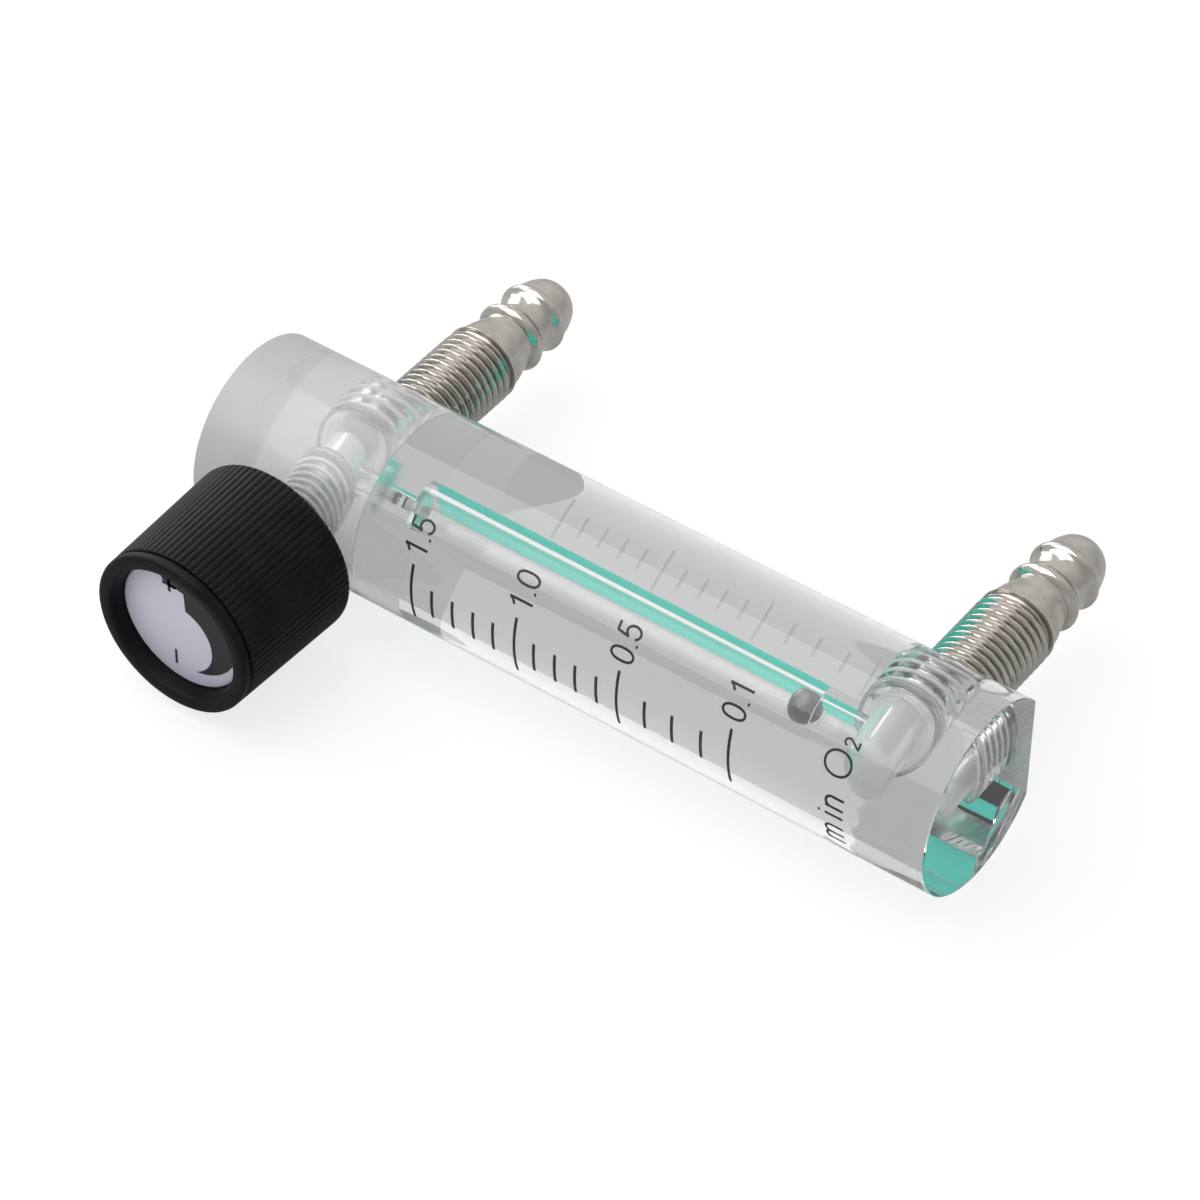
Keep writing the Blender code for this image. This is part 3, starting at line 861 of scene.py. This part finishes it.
def make_backing_film(teal):
    """The coloured film on the flat back. It sits into the acrylic, so no air shows between."""
    rings = []
    for inset, depth in ((0.03, -FILM_PROUD), (0.0, 0.0), (0.0, FILM_SUNK)):
        low_x, high_x = STRIP_LOW.x + inset, STRIP_HIGH.x - inset
        half = STRIP_HIGH.z + FILM_SPREAD - inset
        corner = FILM_CORNER - inset
        outline = []
        for centre_x, centre_z, first in (
            (high_x - corner, half - corner, 0),
            (low_x + corner, half - corner, 90),
            (low_x + corner, corner - half, 180),
            (high_x - corner, corner - half, 270),
        ):
            for step in range(7):
                angle = math.radians(first + 15 * step)
                x, z = centre_x + corner * math.cos(angle), centre_z + corner * math.sin(angle)
                outline.append((x, BACK_Y - depth, z))
        rings.append(outline)
    mesh_data = bmesh.new()
    loft(mesh_data, rings)
    film = finish_mesh("backing_film", mesh_data, [teal], FLAT_SHARP_ANGLE)
    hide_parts("backing_strip")
    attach(film, "housing")


def make_float_ball(black):
    mesh_data = bmesh.new()
    bmesh.ops.create_icosphere(mesh_data, subdivisions=6, radius=BALL_RADIUS)
    bmesh.ops.translate(mesh_data, vec=BALL_CENTRE, verts=mesh_data.verts)
    ball = finish_mesh("polished_float_ball", mesh_data, [black])
    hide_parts("float_ball")
    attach(ball, "float")


def eased(points, steps=5):
    """The rows of a smooth line through the given ones."""
    line = [points[0], *points, points[-1]]
    rows = []
    for before, start, end, after in zip(line, line[1:], line[2:], line[3:]):
        for step in range(steps):
            t = step / steps
            rows.append(
                tuple(
                    b
                    + 0.5 * (c - a) * t
                    + (a - 2.5 * b + 2 * c - 0.5 * d) * t**2
                    + 0.5 * (3 * b - a - 3 * c + d) * t**3
                    for a, b, c, d in zip(before, start, end, after)
                )
            )
    return rows + [points[-1]]


def make_fitting(port, axis_x, nickel):
    """A shank with a real thread, a necked end and a two-bead hose barb."""
    start, tip = FITTING_START_Y, FITTING_TIP_Y
    barb = tip - THREAD_REACH_Y
    rows = [
        (FITTING_BORE_RADIUS, start),
        (THREAD_RADIUS - 0.9, start),
    ]
    rows += thread_rows(THREAD_RADIUS, start + 0.25, THREAD_REACH_Y - 0.3)
    rows += [
        (THREAD_RADIUS - 0.05, THREAD_REACH_Y - 0.2),
        (THREAD_RADIUS - 0.05, THREAD_REACH_Y),
    ]
    rows += eased(
        [
            (THREAD_RADIUS - 0.3, THREAD_REACH_Y + 0.03 * barb),
            (THREAD_RADIUS - 0.42, THREAD_REACH_Y + 0.075 * barb),
            (THREAD_RADIUS - 0.58, THREAD_REACH_Y + 0.13 * barb),
            (NECK_RADIUS + 0.24, THREAD_REACH_Y + 0.2 * barb),
            (NECK_RADIUS + 0.02, THREAD_REACH_Y + 0.27 * barb),
        ]
    )
    rows += ridge_rows(THREAD_REACH_Y + 0.369 * barb)
    rows += [
        (NECK_RADIUS - 0.04, THREAD_REACH_Y + 0.49 * barb),
        (NECK_RADIUS - 0.03, THREAD_REACH_Y + 0.58 * barb),
    ]
    last_ridge = ridge_rows(THREAD_REACH_Y + 0.661 * barb)
    rows += [(radius, y) for radius, y in last_ridge if radius > TIP_RADIUS + 0.04]
    rows += eased(
        [
            (TIP_RADIUS - inset, tip - TIP_LENGTH * (1 - share))
            for share, inset in TIP_PROFILE
        ]
    )
    rows += [
        (2.2, tip - 0.16),
        (2.05, tip - 0.05),
        (1.95, tip),
        (FITTING_BORE_RADIUS + 0.15, tip),
        (FITTING_BORE_RADIUS, tip - 0.15),
    ]
    fitting = turned_y(f"threaded_{port}_barb", rows, axis_x, [nickel], closed=True)
    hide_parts(f"{port}_fitting")
    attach(fitting, "housing")


def make_valve_bush(metal):
    rows = [(BUSH_BORE_RADIUS, BUSH_START_Y), (BUSH_RADIUS - 0.9, BUSH_START_Y)]
    rows += thread_rows(BUSH_RADIUS, BUSH_START_Y - 0.25, in_front(ROD_RADIUS - 0.4))
    rows += [
        (BUSH_NECK_RADIUS, in_front(ROD_RADIUS - 0.3)),
        (BUSH_NECK_RADIUS, BUSH_TOP_Y + 0.4),
        (BUSH_NECK_RADIUS - 0.4, BUSH_TOP_Y),
        (BUSH_STEM_RADIUS, BUSH_TOP_Y),
        (BUSH_STEM_RADIUS, BUSH_SHOULDER_Y),
        (BUSH_BORE_RADIUS, BUSH_SHOULDER_Y),
    ]
    bush = turned_y("threaded_valve_bush", rows, OUTLET_X, [metal], closed=True)
    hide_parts("valve_bush")
    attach(bush, "housing")


def make_knob(black):
    """The knob in one skin: recess, smooth rim, groove, ribbed barrel, hollow back and boss."""
    length = KNOB_REAR_Y - KNOB_FRONT_Y

    def barrel(y):
        share = (KNOB_REAR_Y - y) / length
        return KNOB_REAR_RADIUS + (KNOB_FRONT_RADIUS - KNOB_REAR_RADIUS) * share

    def ribs(y, inset=0.0, depth=RIB_DEPTH):
        def radius(turn):
            across = abs(2 * ((turn * KNOB_RIBS) % 1.0) - 1)
            return barrel(y) - inset - depth * across**2.6

        return radius, y

    front, rear = KNOB_FRONT_Y, KNOB_REAR_Y
    rim_end = front + KNOB_RIM_WIDTH
    ribs_end = rim_end + KNOB_GROOVE_WIDTH
    recess_floor = DISC_HIGH.y + 0.02
    rows = [
        (0, recess_floor),
        (RECESS_RADIUS, recess_floor),
        (RECESS_RADIUS, DISC_Y - 0.05),
        (RECESS_RADIUS + RECESS_FLARE * 0.9, front + 0.25),
        (RECESS_RADIUS + RECESS_FLARE + 0.1, front + 0.06),
        (RECESS_RADIUS + RECESS_FLARE + 0.25, front),
        (barrel(front) - 0.5, front),
        (barrel(front) - 0.25, front + 0.07),
        (barrel(front) - 0.08, front + 0.22),
        (barrel(front + 0.4), front + 0.45),
        (barrel(rim_end), rim_end - 0.08),
        (barrel(rim_end) - 0.08, rim_end),
        (barrel(rim_end) - KNOB_GROOVE_DEPTH, rim_end + 0.04),
        (barrel(ribs_end) - KNOB_GROOVE_DEPTH, ribs_end - 0.04),
        ribs(ribs_end + 0.01, 0.1, RIB_DEPTH * 0.6),
        ribs(ribs_end + 0.12),
        ribs(ribs_end + 0.4),
        ribs((ribs_end + rear) / 2),
        ribs(rear - 1.0),
        ribs(rear - 0.6, 0.06),
        ribs(rear - 0.3, 0.2, RIB_DEPTH * 0.8),
        ribs(rear - 0.12, 0.42, RIB_DEPTH * 0.5),
        ribs(rear, 0.75, 0.0),
        (KNOB_FRONT_RADIUS - KNOB_WALL + 0.15, rear),
        (KNOB_FRONT_RADIUS - KNOB_WALL, rear - 0.15),
        (KNOB_FRONT_RADIUS - KNOB_WALL, HOLLOW_END_Y),
        (BOSS_RADIUS, HOLLOW_END_Y),
        (BOSS_RADIUS, BOSS_START_Y - 0.2),
        (BOSS_RADIUS - 0.2, BOSS_START_Y),
        (STEM_HOLE_RADIUS, BOSS_START_Y),
        (STEM_HOLE_RADIUS, STEM_HOLE_END_Y),
        (0, STEM_HOLE_END_Y),
    ]
    knob = turned_y(
        "ribbed_knob", rows, OUTLET_X, [black], KNOB_RIBS * POINTS_PER_RIB, sharp=KNOB_SHARP_ANGLE
    )
    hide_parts("knob")
    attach(knob, "valve_knob")


def make_knob_disc(lilac):
    """The inlaid disc, its edge rounded over where it meets the wall of the recess."""
    edge = RECESS_RADIUS - 0.03
    back = DISC_HIGH.y
    rows = [
        (0, DISC_Y),
        (edge - 0.35, DISC_Y),
        (edge - 0.2, DISC_Y + 0.03),
        (edge - 0.08, DISC_Y + 0.1),
        (edge, DISC_Y + 0.25),
        (edge, back),
        (0, back),
    ]
    disc = turned_y("inlaid_knob_disc", rows, OUTLET_X, [lilac])
    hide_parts("knob_disc")
    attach(disc, "valve_knob")


# Print


def arc_through(first, middle, last, steps=40):
    """Points on the circle through three points, from the first to the last by the middle one."""
    (ax, ay), (bx, by), (cx, cy) = first, middle, last
    d = 2 * (ax * (by - cy) + bx * (cy - ay) + cx * (ay - by))
    a2, b2, c2 = ax * ax + ay * ay, bx * bx + by * by, cx * cx + cy * cy
    centre_x = (a2 * (by - cy) + b2 * (cy - ay) + c2 * (ay - by)) / d
    centre_y = (a2 * (cx - bx) + b2 * (ax - cx) + c2 * (bx - ax)) / d
    radius = math.hypot(ax - centre_x, ay - centre_y)
    start, mid, end = (
        math.atan2(y - centre_y, x - centre_x) for x, y in (first, middle, last)
    )
    turn = (end - start) % (2 * math.pi)
    if (mid - start) % (2 * math.pi) > turn:
        turn -= 2 * math.pi
    points = []
    for step in range(steps + 1):
        angle = start + turn * step / steps
        points.append((centre_x + radius * math.cos(angle), centre_y + radius * math.sin(angle)))
    return points


def oval(centre_x, centre_y, half_width, half_height, start=0, end=360, steps=36, square=2.0):
    """Points round an oval. Over 2, square makes its shoulders fuller."""
    points = []
    for step in range(steps + 1):
        angle = math.radians(start + (end - start) * step / steps)
        across, up = math.cos(angle), math.sin(angle)
        across = math.copysign(abs(across) ** (2 / square), across)
        up = math.copysign(abs(up) ** (2 / square), up)
        points.append((centre_x + half_width * across, centre_y + half_height * up))
    return points


def line(*corners, step=0.08):
    """Points along straight runs between corners, close enough to wrap round the rod."""
    points = [corners[0]]
    for (ax, ay), (bx, by) in zip(corners, corners[1:]):
        count = max(1, math.ceil(math.hypot(bx - ax, by - ay) / step))
        for number in range(1, count + 1):
            share = number / count
            points.append((ax + (bx - ax) * share, ay + (by - ay) * share))
    return points


# Strokes of each printed sign, in heights of a capital, from its lower left corner
SIGNS = {
    "0": [oval(0.27, 0.5, 0.235, 0.465, square=2.35)],
    "1": [
        line((0.33, 0.0), (0.33, 1.0)),
        arc_through((0.33, 0.98), (0.25, 0.85), (0.08, 0.755), 8),
    ],
    "5": [
        line((0.49, 0.965), (0.145, 0.965), (0.075, 0.485))
        + oval(0.275, 0.325, 0.235, 0.29, 140, -158, 34)
    ],
    ".": [line((0.0, 0.0), (0.0, 0.085))],
    "O": [oval(0.44, 0.5, 0.41, 0.47, square=2.1)],
    "2": [
        oval(0.26, 0.72, 0.22, 0.25, 165, -38, 24)
        + line((0.41, 0.53), (0.05, 0.035), (0.5, 0.035))
    ],
    "m": [
        line((0.06, 0.0), (0.06, 0.68)),
        oval(0.245, 0.46, 0.185, 0.21, 180, 0, 20) + line((0.43, 0.46), (0.43, 0.0)),
        oval(0.615, 0.46, 0.185, 0.21, 180, 0, 20) + line((0.8, 0.46), (0.8, 0.0)),
    ],
    "i": [line((0.05, 0.0), (0.05, 0.68)), line((0.05, 0.86), (0.05, 0.95))],
    "n": [
        line((0.06, 0.0), (0.06, 0.68)),
        oval(0.26, 0.46, 0.2, 0.21, 180, 0, 20) + line((0.46, 0.46), (0.46, 0.0)),
    ],
    "L": [line((0.08, 1.0), (0.08, 0.035), (0.52, 0.035))],
    "/": [line((0.0, 0.0), (0.3, 1.0))],
}


def ribbon_sides(points, width):
    """The two sides of a stroke of this width along the points."""
    left, right = [], []
    for number, (x, y) in enumerate(points):
        before = points[max(0, number - 1)]
        after = points[min(len(points) - 1, number + 1)]
        if number in (0, len(points) - 1) and points[0] == points[-1]:
            before, after = points[-2], points[1]
        run = Vector((after[0] - before[0], after[1] - before[1]))
        if run.length == 0:
            run = Vector((1.0, 0.0))
        side = Vector((-run.y, run.x)).normalized() * width / 2
        left.append((x + side.x, y + side.y))
        right.append((x - side.x, y - side.y))
    return left, right


def add_ribbon(mesh_data, points, width, wrap):
    """A stroke of ink as a closed strip. wrap turns (across, up, depth) into a place."""
    left, right = ribbon_sides(points, width)
    sections = []
    for (lx, ly), (rx, ry) in zip(left, right):
        sections.append([wrap(lx, ly, 0), wrap(rx, ry, 0), wrap(rx, ry, 1), wrap(lx, ly, 1)])
    loft(mesh_data, sections)


def on_rod(across, up, depth):
    """A place in the print on the rod: round it, towards its valve end, and out of its face."""
    turn = across / ROD_RADIUS
    reach = ROD_RADIUS + (INK_OUT if depth else -INK_IN)
    x = VALVE_END_X - up - SCALE_SLANT * across
    return x, ROD_AXIS_Y - reach * math.cos(turn), reach * math.sin(turn)


def add_sign(mesh_data, sign, start, base, height, stroke):
    """A numeral or letter on the rod, from its start across and its base line."""
    for strokes in SIGNS[sign]:
        points = [(start + x * height, y * height - base) for x, y in strokes]
        add_ribbon(mesh_data, points, stroke, on_rod)


def make_scale_print(ink):
    """The flow scale: ticks, numerals and unit, wrapped on the front of the metering tube."""
    mesh_data = bmesh.new()
    for places, (low, high), width in (
        (LONG_TICKS, LONG_TICK_ENDS, LONG_TICK_WIDTH),
        (SHORT_TICKS, SHORT_TICK_ENDS, SHORT_TICK_WIDTH),
    ):
        for place in places:
            points = line((low, -place), (high, -place), step=0.25)
            add_ribbon(mesh_data, points, width, on_rod)
    numeral_places = (
        (0.0, NUMERAL_STROKE),
        (POINT_PLACE, POINT_STROKE),
        (NUMERAL_ADVANCE, NUMERAL_STROKE),
    )
    for text, base in NUMERALS:
        for sign, (place, stroke) in zip(text, numeral_places):
            add_sign(mesh_data, sign, NUMERAL_START + place, base, NUMERAL_HEIGHT, stroke)
    for sign, start, height, stroke in UNIT_SIGNS:
        add_sign(mesh_data, sign, start, UNIT_LINE, height, stroke)
    printed = finish_mesh("printed_scale", mesh_data, [ink], FLAT_SHARP_ANGLE)
    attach(printed, "housing")


def add_patch(mesh_data, outline, wrap):
    """A flat patch of ink with this outline, as a thin closed plate."""
    loft(mesh_data, [[wrap(x, z, 0) for x, z in outline], [wrap(x, z, 1) for x, z in outline]])


def on_disc(across, up, depth):
    """A place in the print on the knob's disc, across and up from its centre."""
    return OUTLET_X + across, DISC_Y + (-0.02 if depth else 0.02), up


def make_knob_print(ink):
    """The turning mark on the disc: a tapering crescent between a plus and a minus."""
    mesh_data = bmesh.new()
    edge = RECESS_RADIUS - MARK_EDGE
    rim = oval(0, 0, edge, edge, *MARK_SPAN, 40)
    outer = arc_through(rim[-1], MARK_OUTER_MIDDLE, MARK_POINT)
    inner = arc_through(MARK_POINT, MARK_INNER_MIDDLE, MARK_NECK)
    add_patch(mesh_data, rim + outer[1:] + inner[1:] + list(MARK_STEPS), on_disc)
    for stroke in PLUS_STROKES:
        add_ribbon(mesh_data, line(*stroke), PLUS_STROKE, on_disc)
    add_ribbon(mesh_data, line(*MINUS_LINE), MINUS_STROKE, on_disc)
    printed = finish_mesh("knob_turning_mark", mesh_data, [ink], FLAT_SHARP_ANGLE)
    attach(printed, "valve_knob")


def dress(node, finish):
    """Gives a node of the frame that is shown as it is a finish of its own."""
    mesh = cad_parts[node].data
    mesh.materials.clear()
    mesh.materials.append(finish)


# Stage


def grey(level):
    return (level, level, level)


def make_floor():
    """A plain pale floor. It shows as near white, and keeps the shadow of the meter."""
    mesh_data = bmesh.new()
    near, far = -FLOOR_REACH, FLOOR_REACH
    corners = ((near, near), (far, near), (far, far), (near, far))
    mesh_data.faces.new([mesh_data.verts.new((x, y, BLOCK_LOW.z)) for x, y in corners])
    paper = Finish("floor_paper", roughness=0.9)
    seen = paper.ray("Camera")
    paper.feed("Base Color", paper.mix(grey(FLOOR_LIT), grey(FLOOR_SEEN), seen))
    tone = paper.mix(grey(FLOOR_GLOW), grey(FLOOR_GLOW_SEEN), seen)
    glow = paper.node("ShaderNodeEmission", None, {0: tone, 1: 1.0})
    first, second, third = (paper.ray(kind) * share for kind, share in FLOOR_SHARES)
    paper.show(paper.mix_shaders(paper.surface(), glow, first + second + third))
    finish_mesh("floor", mesh_data, [paper.material])


def make_world():
    """White to the camera. As light, it is brighter above and behind the valve end."""
    world = bpy.data.worlds.new("studio")
    bpy.context.scene.world = world
    world.use_nodes = True
    sky = Nodes(world.node_tree)
    way = sky.node("ShaderNodeTexCoord", output="Generated")
    facing = sky.node(
        "ShaderNodeVectorMath",
        {"operation": "DOT_PRODUCT"},
        {0: way, 1: WORLD_BRIGHT_SIDE},
        "Value",
    )
    start, end = WORLD_RAMP
    strength = sky.node(
        "ShaderNodeMapRange",
        {"interpolation_type": "SMOOTHSTEP"},
        {0: facing, 1: start, 2: end, 3: WORLD_LOW, 4: WORLD_HIGH},
    )
    background = sky.tree.nodes["Background"]
    sky.fill(background.inputs["Color"], grey(1.0))
    sky.fill(background.inputs["Strength"], strength)
    light = Value(sky, background.outputs[0])
    shown = sky.node("ShaderNodeBackground", None, {"Color": grey(1.0), "Strength": 1.0})
    sky.show(sky.mix_shaders(light, shown, sky.ray("Camera")))


def make_lamp(name, place, size, power):
    """A soft square lamp at place, in mm, turned towards the middle of the rod."""
    lamp = bpy.data.lights.new(name, "AREA")
    lamp.size = size * 0.001
    lamp.energy = power
    holder = bpy.data.objects.new(name, lamp)
    bpy.context.collection.objects.link(holder)
    holder.location = Vector(place) * 0.001
    aim = Vector((0.0, ROD_AXIS_Y, 0.0)) * 0.001 - holder.location
    holder.rotation_euler = aim.to_track_quat("-Z", "Y").to_euler()


def make_camera():
    """The camera at the photograph's angle."""
    azimuth, elevation, roll = (
        math.radians(angle) for angle in (CAMERA_AZIMUTH, CAMERA_ELEVATION, CAMERA_ROLL)
    )
    back = Vector(
        (
            math.sin(azimuth) * math.cos(elevation),
            -math.cos(azimuth) * math.cos(elevation),
            math.sin(elevation),
        )
    )
    right = Vector((math.cos(azimuth), math.sin(azimuth), 0.0))
    up = back.cross(right)
    turned_right = right * math.cos(roll) + up * math.sin(roll)
    turned_up = up * math.cos(roll) - right * math.sin(roll)
    camera = bpy.data.cameras.new("camera")
    camera.lens = CAMERA_LENS
    camera.sensor_width = CAMERA_SENSOR
    camera.clip_start, camera.clip_end = CAMERA_CLIP
    holder = bpy.data.objects.new("camera", camera)
    bpy.context.collection.objects.link(holder)
    stand = Matrix((turned_right, turned_up, back)).transposed().to_4x4()
    stand.translation = (CAMERA_AIM + back * CAMERA_DISTANCE) * 0.001
    holder.matrix_world = stand
    bpy.context.scene.camera = holder


def main():
    polished, jointed, rubber = polished_acrylic(), jointed_acrylic(), seal_black()
    outlet_wall = tapped_acrylic("tapped_outlet_wall", OUTLET_X)
    make_valve_block(satin_acrylic(), turned_acrylic(), jointed, outlet_wall)
    inlet_wall = tapped_acrylic("tapped_inlet_wall", INLET_X)
    make_metering_tube(polished, jointed, milled_acrylic(), inlet_wall)
    make_stop_lining(stop_white(), rubber)
    make_backing_film(teal_film())
    make_float_ball(ball_black())
    bright, shade = (0.60, 0.57, 0.53), (0.50, 0.47, 0.43)
    for port, axis_x in (("inlet", INLET_X), ("outlet", OUTLET_X)):
        plate = nickel_plate(f"{port}_nickel_plate", bright, shade, 0.05, axis_x)
        make_fitting(port, axis_x, plate)
    make_valve_bush(nickel_plate("bush_metal", (0.62, 0.60, 0.55), (0.54, 0.515, 0.46), 0.1))
    make_knob(knob_black())
    make_knob_disc(disc_lilac())
    make_scale_print(printing_ink("scale_ink", (0.012, 0.012, 0.013), (0.03, 0.03, 0.03)))
    make_knob_print(printing_ink("knob_ink", (0.006, 0.006, 0.008), (0.02, 0.02, 0.022)))
    white = seal_white()
    for node in ("inlet_seal", "outlet_seal", "bush_seal"):
        dress(node, white)
    dress("spindle_seal", rubber)
    steel = nickel_plate("spindle_steel", (0.62, 0.62, 0.63), (0.55, 0.55, 0.56), 0.16)
    dress("valve_spindle", steel)
    make_floor()
    make_world()
    for name, place, size, power in LAMPS:
        make_lamp(name, place, size, power)
    make_camera()
    bpy.context.scene.view_settings.view_transform = "Standard"


main()
